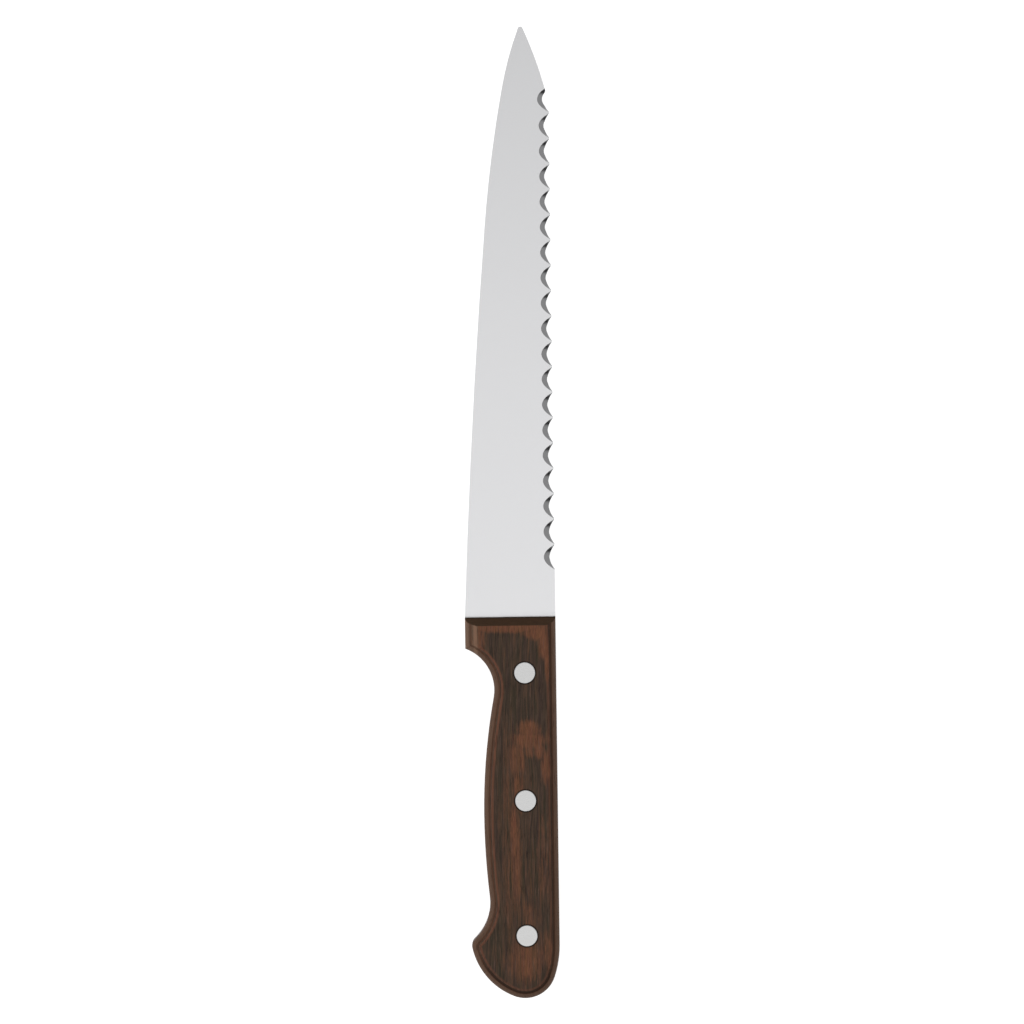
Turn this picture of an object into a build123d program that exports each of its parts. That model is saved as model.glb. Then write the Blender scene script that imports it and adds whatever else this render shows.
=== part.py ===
from build123d import *

import math
import os

# Bread knife with a serrated blade and a riveted wooden handle, in millimetres, lying front face up.
# It is modelled with x = 0 on the handle's straight back, in line with the serrated edge, y = 0 at the
# front end of the wooden scales, +y towards the tip, and z = 0 in the middle of the steel. The finished
# pieces are then moved so that the origin is at the bottom centre of the whole knife.

# Steel
STOCK_T = 2.0  # thickness of the sheet, and of the tang
RICASSO = 1.2  # full-thickness strip between the scales and the ground faces
HEEL_X = -30.68  # plain side of the blade at the scales
PLAIN_HALF_T = 0.95  # half thickness of the ground blade along its plain side
EDGE_HALF_T = 0.42  # half thickness along the serrated side at the heel
TIP_HALF_T = 0.34  # the same at the tip's end
BLADE_REACH = 200.0  # where TIP_HALF_T is measured
EDGE_BEVEL = 1.5  # width of the sharpening bevel, on the rear face only
EDGE_LEFT = 0.2  # thickness that it leaves at the edge
TIP_ROUND = 0.85  # radius of the very tip

# Plain side of the blade, from the heel to the tip: heading at the heel, then (radius, end heading) of arcs
PLAIN_HEADING = 87.74
PLAIN_ARCS = [(2800, 85.0), (460, 79.18), (120, 68.3)]
# Unserrated side of the tip, which runs into the serrated side there
CLIP_R = 137.0
CLIP_START_Y = 174.05

# Serrations, ground from the front face
GULLETS = 19
FIRST_TOOTH_Y = 15.88
TOOTH_PITCH = 8.614
TOOTH_LAND = 0.6  # left between two gullets, at the edge
LAST_GULLET_SHIFT = (-0.4, 0.4)  # the blade already turns in towards the tip there
GULLET_DEPTH = 3.1  # between two teeth, at any one height
GULLET_SLOPE = 2.08  # how far the wall of a gullet shifts towards the edge for each millimetre down
CUTTER_HALF_H = 1.3
CUTTER_REACH = 6.0  # how far the cutters reach out past the edge
CUTTER_WIDEN = 1.15  # a gullet's curve is drawn this much wider, so that it runs out of the steel

# Handle outline, behind y = 0
GUARD_WIDTH = 30.7
GUARD_LENGTH = 10.5
GRIP_HEADING = -20.88  # at the guard's corner
GRIP_ARCS = [(15, -100.79), (210, -90), (250, -83.56), (17, -136.83)]  # finger hollow, belly, palm, throat
HORN_ARC = (3.1, -77.8)  # the pommel's horn
BUTT_ARCS = [(23, -21.66), (10.5, 71.45)]

# Scales
SCALE_T = 7.5
EDGE_ROUND = 2.8  # round-over along the scale's outer edge
PANEL_RISE = 0.7  # panel above the top of the round-over
PANEL_ROUND = 2.0
GROOVE_INSET = 2.1  # from the outline to the groove between the round-over and the panel
FRONT_BEVEL = 2.85  # bevel across the front end, along the blade
FRONT_BEVEL_DROP = 3.4  # and down from the panel
GUARD_BEVEL = 1.9  # bevel along the panel's guard side, from the groove up to the panel

# Two-part rivets
RIVET_PLACES = {"front": (-10.67, -18.87), "middle": (-10.9, -62.18), "rear": (-11.03, -107.9)}
HEAD_R = 3.6
HEAD_T = 1.2
HEAD_ROUND = 0.2
FEMALE_R = 2.5
MALE_R = 1.5
SHANK_GAP = 0.05  # radial gap of the shank in the tang and the scales
RIM_GAP = 0.3  # radial gap of a head in its recess
PRESS_GAP = 0.01  # radial gap between the two halves
END_GAP = 0.3  # length gap between a shank's end and the other half

CUT = 60.0  # larger than the knife's half width and thickness, for cutting tools
STANDING = (Align.CENTER, Align.CENTER, Align.MIN)  # above its own origin
HANGING = (Align.CENTER, Align.CENTER, Align.MAX)  # below its own origin


def toward(heading):
    """The unit direction at a heading in degrees, counterclockwise from +x."""
    return Vector(1, 0).rotate(Axis.Z, heading)


def arc_run(start, heading, arcs):
    """Arcs that follow on smoothly, each given as (radius, heading at its end)."""
    run = []
    for radius, end_heading in arcs:
        run.append(JernArc(start, toward(heading), radius, end_heading - heading))
        start, heading = run[-1] @ 1, end_heading
    return run


def blade_outline():
    """The ground blade seen from above, before it is serrated."""
    plain = arc_run(Vector(HEEL_X, 0), PLAIN_HEADING, PLAIN_ARCS)
    clip = RadiusArc(plain[-1] @ 1, (0, CLIP_START_Y), CLIP_R)
    edge = Polyline((0, CLIP_START_Y), (0, 0), (HEEL_X, 0))
    face = make_face([*plain, clip, edge])
    return fillet(face.vertices().sort_by(Axis.Y)[-1], TIP_ROUND)


def gullet_places():
    """The middle of every gullet on the tooth-to-tooth line, from the heel to the tip."""
    places = [Pos(0, FIRST_TOOTH_Y + TOOTH_PITCH * (i + 0.5)) for i in range(GULLETS)]
    places[-1] *= Pos(*LAST_GULLET_SHIFT)
    return places


def crossing(first, second):
    """Where the circles of two arcs cross, on the side of the first arc's end."""
    between = second.arc_center - first.arc_center
    along = (first.radius**2 - second.radius**2 + between.length**2) / (2 * between.length)
    aside = math.sqrt(first.radius**2 - along**2)
    direction = between.normalized()
    foot = first.arc_center + direction * along
    places = [foot + direction.rotate(Axis.Z, turn) * aside for turn in (90, -90)]
    return min(places, key=lambda place: (place - first @ 1).length)


def handle_outline(front, sharp_horn=False):
    """The handle seen from above, with its front end at y = front."""
    guard = Vector(-GUARD_WIDTH, -GUARD_LENGTH)
    grip = arc_run(guard, GRIP_HEADING, GRIP_ARCS)
    horn = arc_run(grip[-1] @ 1, GRIP_ARCS[-1][1], [HORN_ARC])
    butt = arc_run(horn[-1] @ 1, HORN_ARC[1], BUTT_ARCS)
    if sharp_horn:
        point = crossing(grip[-1], butt[0])
        grip[-1] = ThreePointArc(grip[-1] @ 0, grip[-1] @ 0.5, point)
        butt[0] = ThreePointArc(point, butt[0] @ 0.5, butt[0] @ 1)
        horn = []
    corner, heading = butt[-1] @ 1, BUTT_ARCS[-1][1]
    # the last arc runs into the straight back: it ends on x = 0, heading along +y
    last_r = -corner.X / (1 - toward(heading).Y)
    last = JernArc(corner, toward(heading), last_r, 90 - heading)
    front_end = Polyline(last @ 1, (0, front), (-GUARD_WIDTH, front), guard)
    return make_face([front_end, *grip, *horn, *butt, last])


def ground_face():
    """Tool that takes the steel off the front face, from the ricasso to the tip."""
    heel_plain = Vector(-GUARD_WIDTH, 0, PLAIN_HALF_T)
    heel_edge = Vector(0, 0, EDGE_HALF_T)
    tip_edge = Vector(0, BLADE_REACH, TIP_HALF_T)
    across = heel_edge - heel_plain
    along = tip_edge - heel_edge
    plane = Plane(origin=heel_edge, x_dir=across, z_dir=across.cross(along))
    above = plane * Box(4 * CUT, 8 * CUT, CUT, align=STANDING)
    behind = (Align.CENTER, Align.MAX, Align.CENTER)
    handle_side = Pos(0, RICASSO, 0) * Box(8 * CUT, 8 * CUT, 8 * CUT, align=behind)
    return above - handle_side


def sharpening():
    """Tool that bevels the serrated side on the rear face."""
    rise = (2 * EDGE_HALF_T - EDGE_LEFT) / EDGE_BEVEL
    section = Polyline(
        (-EDGE_BEVEL, -EDGE_HALF_T - 1),
        (-EDGE_BEVEL, -EDGE_HALF_T),
        (CUTTER_REACH, -EDGE_HALF_T + rise * (EDGE_BEVEL + CUTTER_REACH)),
        (CUTTER_REACH, -EDGE_HALF_T - 1),
        close=True,
    )
    length = FIRST_TOOTH_Y + TOOTH_PITCH * GULLETS - RICASSO
    return Pos(0, RICASSO, 0) * extrude(Plane.XZ * make_face(section), -length)


def gullet_cutter():
    """Tool for one gullet, with the tooth-to-tooth line on x = 0 and the blade on its -x side."""
    half = CUTTER_WIDEN * (TOOTH_PITCH - TOOTH_LAND) / 2
    depth = CUTTER_WIDEN**2 * GULLET_DEPTH
    tooth_z = EDGE_HALF_T - EDGE_LEFT
    sections = []
    for z in (-CUTTER_HALF_H, CUTTER_HALF_H):
        side = depth - GULLET_DEPTH - GULLET_SLOPE * (z - tooth_z)
        scoop = Bezier((side, -half), (side - 2 * depth, 0), (side, half))
        back = Polyline((side, half), (CUTTER_REACH, half), (CUTTER_REACH, -half), (side, -half))
        sections.append(Pos(0, 0, z) * make_face([scoop, back]))
    return loft(sections, ruled=True)


def blade():
    sheet = extrude(blade_outline(), STOCK_T / 2, both=True)
    ground = sheet - ground_face() - mirror(ground_face(), about=Plane.XY)
    ground -= sharpening()
    cutter = gullet_cutter()
    for place in gullet_places():
        ground -= place * cutter
    tang = extrude(handle_outline(0), STOCK_T / 2, both=True)
    steel = ground + tang
    for x, y in RIVET_PLACES.values():
        steel -= Pos(x, y, 0) * Cylinder(FEMALE_R + SHANK_GAP, 2 * STOCK_T)
    return steel


def scale_blank():
    """The front scale as one block: round-over, groove and raised panel, running on past the front end."""
    front = 2 * EDGE_ROUND
    body = extrude(handle_outline(front), SCALE_T - PANEL_RISE)
    body = fillet(body.faces().sort_by(Axis.Z)[-1].edges(), EDGE_ROUND)
    # the panel's rounded edge comes down to the groove this far inside the panel's own side
    side_to_groove = PANEL_ROUND - math.sqrt(PANEL_ROUND**2 - (PANEL_ROUND - PANEL_RISE) ** 2)
    inset = GROOVE_INSET - side_to_groove
    panel_face = offset(handle_outline(front, sharp_horn=True), -inset, kind=Kind.INTERSECTION)
    panel = extrude(panel_face, SCALE_T)
    panel = fillet(panel.faces().sort_by(Axis.Z)[-1].edges(), PANEL_ROUND)
    return body + panel


def front_bevel():
    """Tool that bevels the front end, across the knife."""
    top = SCALE_T + FRONT_BEVEL_DROP
    section = Polyline((0, SCALE_T - FRONT_BEVEL_DROP), (0, top), (-2 * FRONT_BEVEL, top), close=True)
    return extrude(Plane.YZ * make_face(section), CUT, both=True)


def guard_bevel():
    """Tool that bevels the panel along the guard's side."""
    groove = -GUARD_WIDTH + GROOVE_INSET
    top = SCALE_T + PANEL_RISE
    section = Polyline(
        (groove, SCALE_T - PANEL_RISE),
        (groove, top),
        (groove + 2 * GUARD_BEVEL, top),
        close=True,
    )
    return extrude(Plane.XZ * make_face(section), CUT, both=True)


def scale():
    """The front scale, with its inner face on the front of the tang."""
    past_front = Box(4 * CUT, CUT, CUT, align=(Align.CENTER, Align.MIN, Align.CENTER))
    wood = scale_blank() - past_front - front_bevel() - guard_bevel()
    for x, y in RIVET_PLACES.values():
        wood -= Pos(x, y, 0) * Cylinder(FEMALE_R + SHANK_GAP, 4 * SCALE_T)
        wood -= Pos(x, y, SCALE_T) * Cylinder(HEAD_R + RIM_GAP, HEAD_T, align=HANGING)
    return Pos(0, 0, STOCK_T / 2) * wood


def rivet_head():
    """A head with its outer face on z = 0."""
    head = Cylinder(HEAD_R, HEAD_T, align=HANGING)
    return fillet(head.edges().sort_by(Axis.Z)[-1], HEAD_ROUND)


def rivet_female():
    """The half with the hollow shank, its head's outer face on z = 0 and its shank downwards."""
    length = 2 * SCALE_T + STOCK_T - HEAD_T - END_GAP
    shank = Cylinder(FEMALE_R, length, align=HANGING)
    bore = Pos(0, 0, -HEAD_T) * Cylinder(MALE_R + PRESS_GAP, length, align=HANGING)
    return rivet_head() + shank - bore


def rivet_male():
    """The half with the solid shank, its head's outer face on z = 0 and its shank upwards."""
    length = 2 * SCALE_T + STOCK_T - HEAD_T - END_GAP
    shank = Cylinder(MALE_R, length, align=STANDING)
    return mirror(rivet_head(), about=Plane.XY) + shank


def pieces():
    """Every piece by name, where it belongs."""
    made = {"blade": blade(), "front_scale": scale()}
    made["rear_scale"] = mirror(made["front_scale"], about=Plane.XY)
    outer_z = STOCK_T / 2 + SCALE_T
    for name, (x, y) in RIVET_PLACES.items():
        made[f"{name}_rivet_female"] = Pos(x, y, outer_z) * rivet_female()
        made[f"{name}_rivet_male"] = Pos(x, y, -outer_z) * rivet_male()
    return made


os.makedirs("parts", exist_ok=True)
made = pieces()
box = Compound(list(made.values())).bounding_box()
to_origin = Pos(-box.center().X, -box.center().Y, -box.min.Z)
for name, piece in made.items():
    export_step(to_origin * piece, f"parts/{name}.step")
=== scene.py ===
"""Bread knife: the looks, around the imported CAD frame.

A name that ends in _M is in metres, and so is what Blender's own objects are given.
Everything else is in millimetres.
"""

import math

import bpy
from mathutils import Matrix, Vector


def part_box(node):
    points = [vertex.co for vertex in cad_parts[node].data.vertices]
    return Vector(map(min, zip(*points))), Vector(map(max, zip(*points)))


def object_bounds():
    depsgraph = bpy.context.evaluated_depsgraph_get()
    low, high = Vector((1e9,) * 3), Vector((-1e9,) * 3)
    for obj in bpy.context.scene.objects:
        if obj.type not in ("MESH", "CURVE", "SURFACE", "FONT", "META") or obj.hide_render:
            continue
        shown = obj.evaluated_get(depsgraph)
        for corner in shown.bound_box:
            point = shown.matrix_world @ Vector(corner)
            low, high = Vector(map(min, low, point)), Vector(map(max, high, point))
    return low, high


MM = 0.001
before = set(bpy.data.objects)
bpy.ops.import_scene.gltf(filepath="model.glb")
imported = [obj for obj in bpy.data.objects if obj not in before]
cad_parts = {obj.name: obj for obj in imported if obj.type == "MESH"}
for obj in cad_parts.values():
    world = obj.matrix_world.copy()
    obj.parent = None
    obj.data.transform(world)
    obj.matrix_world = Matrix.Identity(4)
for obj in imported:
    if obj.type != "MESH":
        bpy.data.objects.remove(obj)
cad_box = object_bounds()

# ---------------------------------------------------------------- places, from the frame

WHOLE_LOW_M, WHOLE_HIGH_M = cad_box
SCALE_LOW_M, SCALE_HIGH_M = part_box("front_scale")
BACK_X = SCALE_HIGH_M.x / MM  # the handle's straight back, in line with the serrated edge
FRONT_Y = SCALE_HIGH_M.y / MM  # front end of the wooden scales
MIDDLE_Z = (WHOLE_LOW_M.z + WHOLE_HIGH_M.z) / 2 / MM  # middle of the steel
PANEL_HEIGHT = WHOLE_HIGH_M.z / MM - MIDDLE_Z  # outer face of a scale, from the middle of the steel
SCALE_DEPTH = (SCALE_HIGH_M.z - SCALE_LOW_M.z) / MM
RIVETS = ["front", "middle", "rear"]

# ---------------------------------------------------------------- node helpers

MIX_COLOR_INPUTS = (6, 7)  # a Mix node has sockets for numbers, vectors and colours
MIX_COLOR_OUTPUT = 2


class Graph:
    """A node tree, with short calls for the nodes that the looks below are made of."""

    def __init__(self, tree):
        self.tree = tree

    def node(self, kind, **settings):
        node = self.tree.nodes.new(kind)
        for name, value in settings.items():
            setattr(node, name, value)
        return node

    def put(self, socket, value):
        if isinstance(value, bpy.types.NodeSocket):
            self.tree.links.new(value, socket)
        else:
            socket.default_value = value

    def filled(self, node, values):
        """The node, with its first inputs set to values."""
        for socket, value in zip(node.inputs, values):
            self.put(socket, value)
        return node

    def math(self, operation, *values):
        return self.filled(self.node("ShaderNodeMath", operation=operation), values).outputs[0]

    def add(self, *values):
        total = values[0]
        for value in values[1:]:
            total = self.math("ADD", total, value)
        return total

    def times(self, *values):
        product = values[0]
        for value in values[1:]:
            product = self.math("MULTIPLY", product, value)
        return product

    def minus(self, value, taken):
        return self.math("SUBTRACT", value, taken)

    def larger(self, first, second):
        return self.math("MAXIMUM", first, second)

    def centred(self, noise, size):
        """A noise of 0 to 1 as -size / 2 to size / 2."""
        return self.times(self.minus(noise, 0.5), size)

    def vector(self, operation, *values):
        return self.filled(self.node("ShaderNodeVectorMath", operation=operation), values).outputs[0]

    def joined(self, *values):
        return self.filled(self.node("ShaderNodeCombineXYZ"), values).outputs[0]

    def split(self, vector):
        return self.filled(self.node("ShaderNodeSeparateXYZ"), [vector]).outputs

    def noise(self, vector, scale, detail=4.0, roughness=0.5, seed=0.0):
        """Noise with its own scale on each axis, in cycles per millimetre, from about 0 to 1."""
        node = self.node("ShaderNodeTexNoise")
        scaled = self.vector("MULTIPLY", vector, scale)
        self.put(node.inputs["Vector"], self.vector("ADD", scaled, (seed, seed, seed)))
        node.inputs["Scale"].default_value = 1.0
        node.inputs["Detail"].default_value = detail
        node.inputs["Roughness"].default_value = roughness
        return node.outputs["Fac"]

    def ramp(self, value, low, high, to_low=0.0, to_high=1.0):
        """value from low to high, eased to to_low and to_high. low may be the larger one."""
        node = self.node("ShaderNodeMapRange", interpolation_type="SMOOTHSTEP")
        return self.filled(node, (value, low, high, to_low, to_high)).outputs[0]

    def band(self, value, low, high, soft):
        """1 from low to high, eased to 0 over soft on both sides."""
        return self.times(self.ramp(value, low - soft, low), self.ramp(value, high + soft, high))

    def mix(self, share, first, second):
        """The colours first and second, with share of second."""
        node = self.node("ShaderNodeMix", data_type="RGBA")
        self.put(node.inputs["Factor"], share)
        for index, color in zip(MIX_COLOR_INPUTS, (first, second)):
            self.put(node.inputs[index], color)
        return node.outputs[MIX_COLOR_OUTPUT]

    def tinted(self, color, tint, where, share):
        """color, with share of tint where where is 1 and none of it where where is 0."""
        return self.mix(self.times(where, share), color, tint)


class Surface(Graph):
    """A material, with place in millimetres from the knife's origin, and the normal there."""

    def __init__(self, name):
        self.material = bpy.data.materials.new(name)
        self.material.use_nodes = True
        super().__init__(self.material.node_tree)
        self.shader = self.tree.nodes["Principled BSDF"]
        coordinates = self.node("ShaderNodeTexCoord")
        self.place = self.vector("MULTIPLY", coordinates.outputs["Object"], (1 / MM, 1 / MM, 1 / MM))
        self.normal = coordinates.outputs["Normal"]

    def distance(self, x, y, half_width=1.0, half_length=1.0):
        """Distance from (x, y), seen from above, where 1 is half_width across or half_length along."""
        offset = self.vector("SUBTRACT", self.place, (x, y, 0.0))
        node = self.node("ShaderNodeVectorMath", operation="LENGTH")
        self.put(node.inputs[0], self.vector("MULTIPLY", offset, (1 / half_width, 1 / half_length, 0.0)))
        return node.outputs["Value"]

    def look(self, name, value):
        self.put(self.shader.inputs[name], value)

    def bump(self, height, depth):
        """Bumps of height, where 1 stands depth millimetres high."""
        node = self.node("ShaderNodeBump")
        node.inputs["Strength"].default_value = 1.0
        node.inputs["Distance"].default_value = depth * MM
        self.put(node.inputs["Height"], height)
        self.look("Normal", node.outputs["Normal"])


def srgb(red, green, blue):
    """A colour given in the usual 0 to 255, as linear light."""

    def linear(value):
        value /= 255
        return value / 12.92 if value <= 0.04045 else ((value + 0.055) / 1.055) ** 2.4

    return linear(red), linear(green), linear(blue), 1.0


# ---------------------------------------------------------------- camera, floor and light

CAMERA_HEIGHT_M = 2.5
SENSOR_WIDTH = 36.0
VIEW_WIDTH_M = 0.3477  # what the square picture shows across, at the knife
VIEW_OFFSET_M = 0.0011  # the knife lies this far left of the picture's middle
VIEW_REACH_M = 20.0
KNIFE_LEAN = math.radians(0.75)  # of the tip to the left, in the picture

FLOOR_REACH_M = 6.0
FLOOR_GAP_M = 0.0001  # under the knife, so that the two don't lie in one plane
FLOOR_GREY = 0.5
FLOOR_GLOW = 0.85
FLOOR_ROUGHNESS = 0.9

# The studio's walls and ceiling, as the world. Places there are directions from the knife: x is across it,
# y towards the tip and z up.
CEILING_LIGHT = 1.18
CEILING_LOW_LIGHT = 0.40  # at its darkest, towards the tip
CEILING_FADE = (0.0, 0.17)  # where it darkens, in y
CEILING_EDGE = (0.80, 0.95)  # where the walls end, in z
WALL_LIGHT = 0.60
RIGHT_WALL_LIGHT = 0.32
RIGHT_WALL_EDGE = (0.20, 0.50)  # where the right wall begins, in x
RIGHT_WALL_FOOT = (0.08, 0.26)  # below it the right wall is as light as the others, in z

# A black flag stands on the knife's right, behind the handle.
FLAG_TURN = math.radians(-50.0)  # from x, seen from above
FLAG_SIDES = (-0.35, 0.13)  # its right and left, seen from the knife
FLAG_SIDE_SOFTNESS = 0.26
FLAG_AHEAD = (0.1, 0.3)  # it stands on its own side of the knife only
FLAG_FOOT = (0.19, 0.33)  # in z
FLAG_TOP = (0.50, 0.75)  # in z

LEFT_POWER = 4.5
RIGHT_POWER = 2.5


def add_camera():
    data = bpy.data.cameras.new("camera")
    data.sensor_width = SENSOR_WIDTH
    data.lens = data.sensor_width * CAMERA_HEIGHT_M / VIEW_WIDTH_M
    data.clip_end = VIEW_REACH_M
    camera = bpy.data.objects.new("camera", data)
    middle = (WHOLE_LOW_M + WHOLE_HIGH_M) / 2
    camera.location = (middle.x + VIEW_OFFSET_M, middle.y, middle.z + CAMERA_HEIGHT_M)
    camera.rotation_euler = (0.0, 0.0, -KNIFE_LEAN)
    bpy.context.scene.collection.objects.link(camera)
    bpy.context.scene.camera = camera


def add_floor():
    mesh = bpy.data.meshes.new("floor")
    height = WHOLE_LOW_M.z - FLOOR_GAP_M
    corners = ((-1, -1), (1, -1), (1, 1), (-1, 1))
    places = [(x * FLOOR_REACH_M, y * FLOOR_REACH_M, height) for x, y in corners]
    mesh.from_pydata(places, [], [range(len(places))])
    floor = bpy.data.objects.new("floor", mesh)
    bpy.context.scene.collection.objects.link(floor)
    floor.visible_glossy = False  # the steel reflects the studio's own dark and light sides instead
    material = bpy.data.materials.new("floor_white")
    material.use_nodes = True
    shader = material.node_tree.nodes["Principled BSDF"]
    shader.inputs["Base Color"].default_value = (FLOOR_GREY, FLOOR_GREY, FLOOR_GREY, 1.0)
    shader.inputs["Roughness"].default_value = FLOOR_ROUGHNESS
    shader.inputs["Emission Color"].default_value = (1.0, 1.0, 1.0, 1.0)
    shader.inputs["Emission Strength"].default_value = FLOOR_GLOW
    mesh.materials.append(material)


def flag_share(g, across, along, up):
    """1 where the black flag is, and 0 around it."""
    ahead = g.add(g.times(across, math.cos(FLAG_TURN)), g.times(along, math.sin(FLAG_TURN)))
    aside = g.minus(g.times(along, math.cos(FLAG_TURN)), g.times(across, math.sin(FLAG_TURN)))
    top_low, top_high = FLAG_TOP
    standing = g.times(g.band(aside, *FLAG_SIDES, FLAG_SIDE_SOFTNESS), g.ramp(ahead, *FLAG_AHEAD))
    return g.times(standing, g.ramp(up, *FLAG_FOOT), g.ramp(up, top_high, top_low))


def studio_light(g, direction):
    """A bright ceiling that darkens towards the tip, light walls, a darker right wall, and the flag."""
    across, along, up = g.split(direction)
    ceiling = g.ramp(along, *CEILING_FADE, CEILING_LIGHT, CEILING_LOW_LIGHT)
    right_share = g.times(g.ramp(across, *RIGHT_WALL_EDGE), g.ramp(up, *RIGHT_WALL_FOOT))
    wall = g.ramp(right_share, 0.0, 1.0, WALL_LIGHT, RIGHT_WALL_LIGHT)
    light = g.add(wall, g.times(g.ramp(up, *CEILING_EDGE), g.minus(ceiling, wall)))
    return g.times(light, g.ramp(flag_share(g, across, along, up), 1.0, 0.0))


def add_world():
    """The studio, which the camera itself sees as plain white."""
    world = bpy.data.worlds.new("studio")
    world.use_nodes = True
    g = Graph(world.node_tree)
    strength = g.node("ShaderNodeMix", data_type="FLOAT")
    g.put(strength.inputs["Factor"], g.node("ShaderNodeLightPath").outputs["Is Camera Ray"])
    g.put(strength.inputs["A"], studio_light(g, g.node("ShaderNodeTexCoord").outputs["Generated"]))
    g.put(strength.inputs["B"], 1.0)
    background = world.node_tree.nodes["Background"]
    background.inputs["Color"].default_value = (1.0, 1.0, 1.0, 1.0)
    g.put(background.inputs["Strength"], strength.outputs[0])
    bpy.context.scene.world = world


def add_soft_box(name, place, size, power):
    """A rectangular lamp in place, that shines on the origin."""
    data = bpy.data.lights.new(name, "AREA")
    data.shape = "RECTANGLE"
    data.size, data.size_y = size
    data.energy = power
    light = bpy.data.objects.new(name, data)
    light.location = place
    light.rotation_euler = (-Vector(place)).to_track_quat("-Z", "Y").to_euler()
    light.visible_camera = False
    light.visible_glossy = False  # it would be a hard white glare on the flat steel from low down
    bpy.context.scene.collection.objects.link(light)


# ---------------------------------------------------------------- wood

# Redder patches in the dark wood: from the back, behind the front end, half width, half length, strength
FRONT_FIGURE = [
    (15.5, 3.6, 15.0, 1.9, 1.0),  # along the front end
    (9.0, 5.2, 3.0, 2.2, 0.7),
    (6.3, 5.2, 3.6, 3.0, 1.0),
    (26.5, 7.4, 3.0, 5.0, 0.6),  # the guard
    (4.2, 9.5, 2.0, 5.5, 1.0),  # tapering away along the back
    (3.0, 15.5, 0.9, 7.0, 0.9),
    (9.4, 38.3, 4.6, 3.9, 0.95),  # the arch between the front and middle rivets
    (9.4, 41.6, 6.6, 3.6, 1.0),
    (9.6, 45.0, 2.5, 3.0, 0.55),
    (6.1, 44.8, 1.9, 4.2, 0.95),
    (4.0, 50.8, 1.8, 6.6, 0.9),
    (13.6, 47.5, 3.1, 9.0, 0.72),
    (13.4, 58.5, 2.3, 9.0, 0.75),
    (15.2, 73.7, 1.3, 12.0, 0.9),  # long streaks behind it
    (14.6, 81.8, 2.5, 22.0, 0.7),
    (17.3, 79.0, 1.6, 46.0, 0.4),
    (5.9, 75.0, 1.1, 9.0, 0.35),
    (6.0, 88.0, 1.2, 12.0, 0.4),
    (8.5, 87.0, 6.0, 15.0, 0.25),
    (11.0, 100.8, 5.5, 7.0, 0.35),
    (4.0, 113.0, 1.7, 9.0, 0.65),  # the pommel
    (11.6, 115.8, 7.0, 10.0, 0.65),
    (11.2, 118.5, 3.0, 5.0, 0.85),
]
REAR_FIGURE = [
    (18.0, 12.0, 4.0, 14.0, 0.9),
    (8.0, 28.0, 3.0, 22.0, 1.0),
    (14.5, 62.0, 4.5, 18.0, 1.0),
    (6.0, 88.0, 2.4, 20.0, 0.8),
    (15.5, 112.0, 5.0, 12.0, 0.9),
]
PATCH_EDGE = (1.35, 0.35)  # a patch fades in between these, where 1 is its half size

# Colours. A pair is two tints that the wood runs between.
DARK = (srgb(57, 50, 37), srgb(63, 48, 42))
DARK_FIBRE = srgb(83, 66, 53)
RED = (srgb(103, 69, 45), srgb(108, 66, 50))
RED_FIBRE = srgb(132, 87, 62)
LIGHT_LINE = srgb(128, 102, 90)
# The rounded border's lighter tint: partly the sanded wood, partly a painted highlight
BEAD_WEAR_AND_HIGHLIGHT = (srgb(79, 58, 45), srgb(115, 86, 69))
# The panel's red edge line: partly worn by rubbing, partly a painted highlight
PANEL_EDGE_WEAR_AND_HIGHLIGHT = srgb(120, 75, 56)
# Painted highlight on the guard's bevel, and a brighter painted highlight along its foot
GUARD_HIGHLIGHT = (srgb(111, 88, 73), srgb(137, 111, 92))
GUARD_EDGE_HIGHLIGHT = srgb(150, 120, 98)
GROOVE = srgb(73, 43, 26)
# Painted shade in the groove on the handle's shaded back and butt
GROOVE_PAINTED_SHADE = srgb(43, 25, 12)
# Painted shade in a ring round each rivet's head
RIVET_PAINTED_SHADE = srgb(32, 21, 14)
FRONT_END = (srgb(44, 29, 16), srgb(77, 53, 33))
FRONT_LINE = srgb(30, 18, 8)
GLUE = srgb(26, 16, 10)
PORE = srgb(24, 17, 12)

# Where a noise begins to count, and where it counts in full
FIBRE_RISE = (0.35, 0.70)
TINT_RISE = (0.38, 0.62)
PORE_RISE = (0.58, 0.68)
LIGHT_LINE_RISE = (0.56, 0.70)
SHEEN_RISE = (0.3, 0.7)

# How far the noises move the grain, and the edges of the figure
SWAY = 5.0
FIBRE_FEATHER = 1.9
BROAD_FEATHER = 1.3
FINE_FEATHER = 0.9
RED_RISE = (-0.05, 1.05)  # figure and feather together

# Depths below the panel's face
PANEL_EDGE_DEPTHS = (0.09, 0.34)
PANEL_EDGE_SOFTNESS = 0.09
BEAD_RISE = (0.68, 0.80)  # the rounded border begins
SIDE_DEPTHS = (3.2, 4.4)  # it turns into the handle's upright sides
GROOVE_DEPTHS = (0.70, 0.97)
GROOVE_SOFTNESS = 0.12
# where the painted shade lies in the groove
GROOVE_SHADE_DEPTHS = (0.42, 0.90)
GROOVE_SHADE_SOFTNESS = 0.16
FRONT_LINE_DEPTHS = (3.15, 3.5)  # foot of the bevel across the front end
FRONT_LINE_SOFTNESS = 0.2
GLUE_DEPTHS = (SCALE_DEPTH - 0.3, SCALE_DEPTH - 0.05)  # the scale meets the tang

# Distances from the back
NEAR_BACK = (6.0, 3.0)
GUARD_SIDE = (25.6, 27.4)
GUARD_EDGE_SIDE = (26.8, 27.6)  # foot of the bevel along the guard
GUARD_EDGE_SOFTNESS = 0.5

# Distances behind the front end
FRONT_END_LENGTH = (3.0, 2.8)
GUARD_LENGTH = (16.0, 9.0)
GUARD_EDGE_LENGTH = (14.0, 11.0)
BUTT = (112.0, 122.0)

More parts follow.
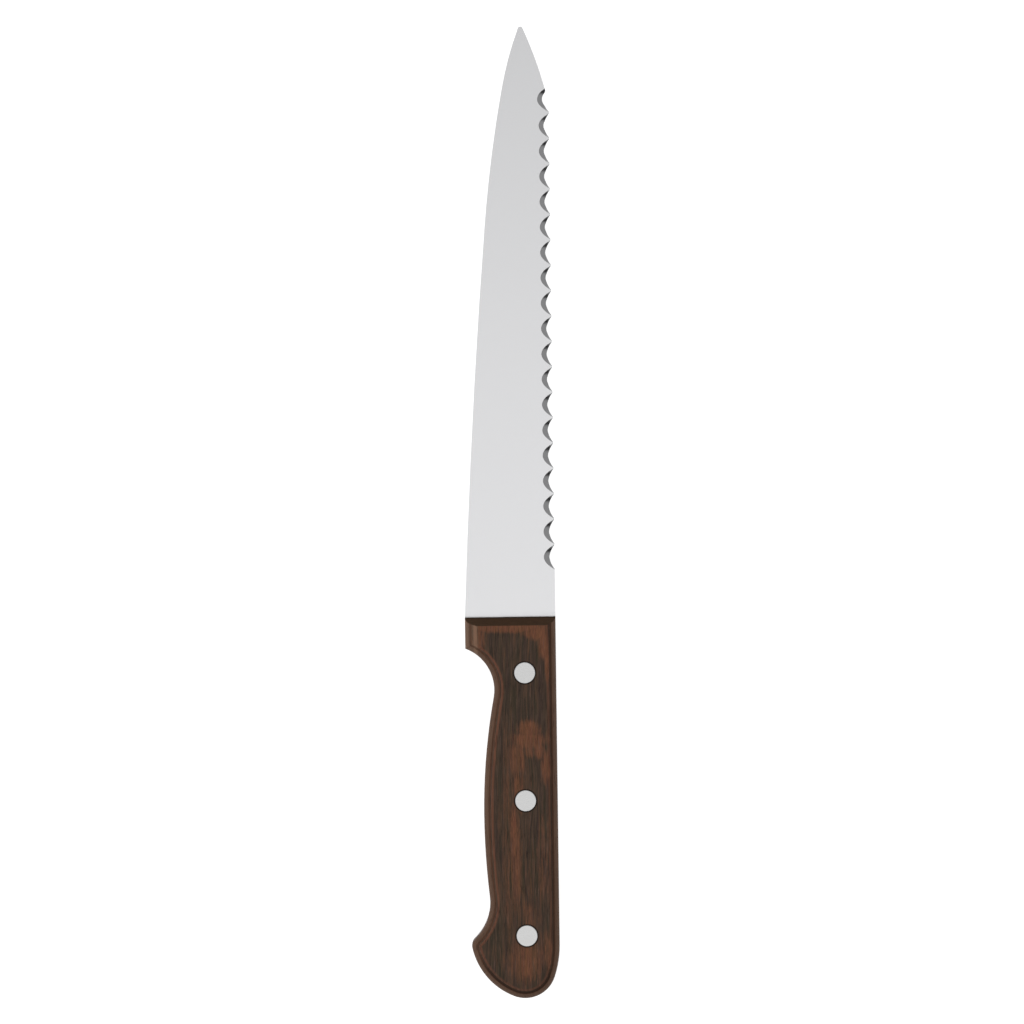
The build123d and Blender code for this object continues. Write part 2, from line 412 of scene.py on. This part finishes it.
# where the painted shade round a rivet fades, outside its head
RIVET_SHADE_EDGE = (0.6, 0.35)  # outside a rivet's head
FACES_FORWARD = (0.3, 0.6)  # y of a normal that faces the blade
WOOD_ROUGHNESS = (0.48, 0.62)
WOOD_SPECULAR = 0.15
PORE_DEPTH = 0.03


class Wood(Surface):
    """A scale's material, with its grain as noises and its place on the scale as distances."""

    def __init__(self, name, seed):
        super().__init__(name)
        self.seed = seed
        sway = self.noise(self.place, (0.07, 0.02, 0.07), detail=3, seed=seed)
        self.swayed = self.vector("ADD", self.place, self.joined(self.centred(sway, SWAY), 0.0, 0.0))
        self.broad = self.grain((0.45, 0.035, 0.45), seed_step=0, detail=5, roughness=0.65)
        self.fibre = self.grain((1.6, 0.06, 1.6), seed_step=3, detail=6, roughness=0.7)
        self.tint = self.grain((1.5, 0.05, 1.5), seed_step=7, detail=5, roughness=0.65)
        self.fine = self.grain((5.0, 0.30, 5.0), seed_step=11, detail=4, roughness=0.65)
        self.pores = self.ramp(self.grain((4.0, 0.16, 4.0), seed_step=17, detail=3), *PORE_RISE)
        self.light_lines = self.ramp(self.grain((5.0, 0.12, 5.0), seed_step=23, detail=3), *LIGHT_LINE_RISE)
        x, y, z = self.split(self.place)
        self.from_back = self.minus(BACK_X, x)
        self.behind_front = self.minus(FRONT_Y, y)
        self.below_panel = self.minus(PANEL_HEIGHT, self.math("ABSOLUTE", self.minus(z, MIDDLE_Z)))
        # The back and the butt are the handle's shaded sides, which the painted shade in the groove and the
        # fainter edge highlight follow
        self.near_back = self.ramp(self.from_back, *NEAR_BACK)
        self.at_butt = self.ramp(self.behind_front, *BUTT)

    def grain(self, scale, seed_step, **settings):
        """Noise that is drawn out along the scale."""
        return self.noise(self.swayed, scale, seed=self.seed + seed_step, **settings)


def figure_share(g, figure):
    """How far each place lies inside the figure's patches, from 0 to 1."""
    share = 0.0
    for from_back, behind_front, half_width, half_length, strength in figure:
        distance = g.distance(BACK_X - from_back, FRONT_Y - behind_front, half_width, half_length)
        share = g.larger(share, g.ramp(distance, *PATCH_EDGE, 0.0, strength))
    return share


def grain_color(g, figure):
    """Dark wood with redder figure, whose edges run out along the fibres."""
    feather = g.add(g.centred(g.fibre, FIBRE_FEATHER), g.centred(g.broad, BROAD_FEATHER))
    feather = g.add(feather, g.centred(g.fine, FINE_FEATHER))
    red_share = g.ramp(g.add(figure_share(g, figure), feather), *RED_RISE)
    tint_share = g.ramp(g.tint, *TINT_RISE)
    dark = g.mix(g.ramp(g.fibre, *FIBRE_RISE), g.mix(tint_share, *DARK), DARK_FIBRE)
    red = g.mix(g.ramp(g.fine, *FIBRE_RISE), g.mix(tint_share, *RED), RED_FIBRE)
    return g.tinted(g.mix(red_share, dark, red), LIGHT_LINE, g.light_lines, share=0.38)


def with_border(g, color):
    """The rounded border's lighter tint, partly the sanded wood and partly a painted highlight, and the
    panel's edge, a red line that is partly worn by rubbing and partly a painted highlight, fainter on the
    handle's shaded back and butt.
    """
    border_share = g.ramp(g.below_panel, *SIDE_DEPTHS, 0.85, 0.5)
    # painted highlight on the rounded border, strongest on its top and fainter down the upright sides
    color = g.tinted(color, g.mix(g.fibre, *BEAD_WEAR_AND_HIGHLIGHT), g.ramp(g.below_panel, *BEAD_RISE), border_share)
    edge = g.band(g.below_panel, *PANEL_EDGE_DEPTHS, PANEL_EDGE_SOFTNESS)
    # the painted highlight on the panel's edge is fainter on the shaded back and butt
    lit_edge_share = g.ramp(g.larger(g.near_back, g.at_butt), 0.0, 1.0, 0.60, 0.35)
    return g.tinted(color, PANEL_EDGE_WEAR_AND_HIGHLIGHT, edge, lit_edge_share)


def with_guard_highlight(g, color):
    """Painted highlight on the guard's bevel, which faces the left lamp, brightest along the foot of the
    bevel.
    """
    guard = g.times(g.ramp(g.from_back, *GUARD_SIDE), g.ramp(g.behind_front, *GUARD_LENGTH))
    # painted highlight where the guard's bevel catches the left light
    color = g.tinted(color, g.mix(g.fibre, *GUARD_HIGHLIGHT), guard, share=0.5)
    edge = g.band(g.from_back, *GUARD_EDGE_SIDE, GUARD_EDGE_SOFTNESS)
    edge = g.times(edge, g.ramp(g.behind_front, *GUARD_EDGE_LENGTH))
    return g.tinted(color, GUARD_EDGE_HIGHLIGHT, edge, share=0.35)


def with_groove(g, color):
    """The groove, darkened all round, and painted shade deeper in it along the handle's shaded back and
    round the butt.
    """
    groove = g.band(g.below_panel, *GROOVE_DEPTHS, GROOVE_SOFTNESS)
    color = g.tinted(color, GROOVE, groove, share=0.6)
    # painted shade in the groove, deepest along the back and round the butt
    painted_shade = g.band(g.below_panel, *GROOVE_SHADE_DEPTHS, GROOVE_SHADE_SOFTNESS)
    painted_shade_share = g.larger(g.times(g.near_back, 0.45), g.times(g.at_butt, 0.8))
    return g.tinted(color, GROOVE_PAINTED_SHADE, painted_shade, painted_shade_share)


def with_rivet_shade(g, color):
    """Painted shade: a dark ring close around the rivets' heads."""
    rivet_shade = 0.0
    for rivet in RIVETS:
        low_m, high_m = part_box(f"{rivet}_rivet_female")
        middle = (low_m + high_m) / 2 / MM
        head_radius = (high_m.x - low_m.x) / 2 / MM
        outside = g.minus(g.distance(middle.x, middle.y), head_radius)
        rivet_shade = g.add(rivet_shade, g.ramp(outside, *RIVET_SHADE_EDGE))
    return g.tinted(color, RIVET_PAINTED_SHADE, rivet_shade, share=0.3)


def with_front_end(g, color):
    """Dark end grain on the front end and its bevel, with a darker line at the bevel's foot."""
    end_grain = g.noise(g.place, (0.4, 3.0, 3.0), detail=4, roughness=0.7, seed=g.seed)
    line = g.band(g.below_panel, *FRONT_LINE_DEPTHS, FRONT_LINE_SOFTNESS)
    front_color = g.tinted(g.mix(end_grain, *FRONT_END), FRONT_LINE, line, share=0.7)
    faces_forward = g.ramp(g.split(g.normal)["Y"], *FACES_FORWARD)
    return g.mix(g.times(g.ramp(g.behind_front, *FRONT_END_LENGTH), faces_forward), color, front_color)


def wood(name, figure, seed):
    g = Wood(name, seed)
    color = grain_color(g, figure)
    for add_detail in (with_border, with_guard_highlight, with_groove, with_rivet_shade, with_front_end):
        color = add_detail(g, color)
    color = g.tinted(color, GLUE, g.ramp(g.below_panel, *GLUE_DEPTHS), share=0.7)
    g.look("Base Color", g.tinted(color, PORE, g.pores, share=0.55))
    g.look("Roughness", g.ramp(g.fine, *SHEEN_RISE, *WOOD_ROUGHNESS))
    g.look("Specular IOR Level", WOOD_SPECULAR)
    g.bump(g.minus(g.times(g.fine, 0.5), g.pores), PORE_DEPTH)
    return g.material


# ---------------------------------------------------------------- metals


def ground_metal(name, line_scale, tints, roughness, line_depth):
    """Metal with fine grinding lines across the knife."""
    g = Surface(name)
    lines = g.noise(g.place, line_scale, detail=3, roughness=0.6)
    g.look("Metallic", 1.0)
    g.look("Base Color", g.mix(lines, *tints))
    g.look("Roughness", g.ramp(lines, *SHEEN_RISE, *roughness))
    g.bump(lines, line_depth)
    return g.material


def steel():
    tints = (srgb(212, 212, 214), srgb(221, 221, 222))
    return ground_metal("blade_steel_look", (0.15, 14.0, 3.0), tints, (0.17, 0.22), line_depth=0.0012)


def rivet_aluminium():
    tints = (srgb(204, 204, 204), srgb(213, 213, 212))
    return ground_metal("rivet_metal_look", (0.3, 12.0, 3.0), tints, (0.26, 0.34), line_depth=0.002)


# ---------------------------------------------------------------- the scene


def dress(node, material):
    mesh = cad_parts[node].data
    mesh.materials.clear()
    mesh.materials.append(material)


add_camera()
add_floor()
add_world()
add_soft_box("left", place=(-1.2, 0.0, 0.5), size=(0.9, 1.4), power=LEFT_POWER)
add_soft_box("right", place=(1.3, 0.0, 0.35), size=(1.4, 0.4), power=RIGHT_POWER)
bpy.context.scene.view_settings.view_transform = "Standard"

dress("blade", steel())
dress("front_scale", wood("front_scale_look", FRONT_FIGURE, seed=0.0))
dress("rear_scale", wood("rear_scale_look", REAR_FIGURE, seed=40.0))
rivet_look = rivet_aluminium()
for rivet in RIVETS:
    dress(f"{rivet}_rivet_female", rivet_look)
    dress(f"{rivet}_rivet_male", rivet_look)
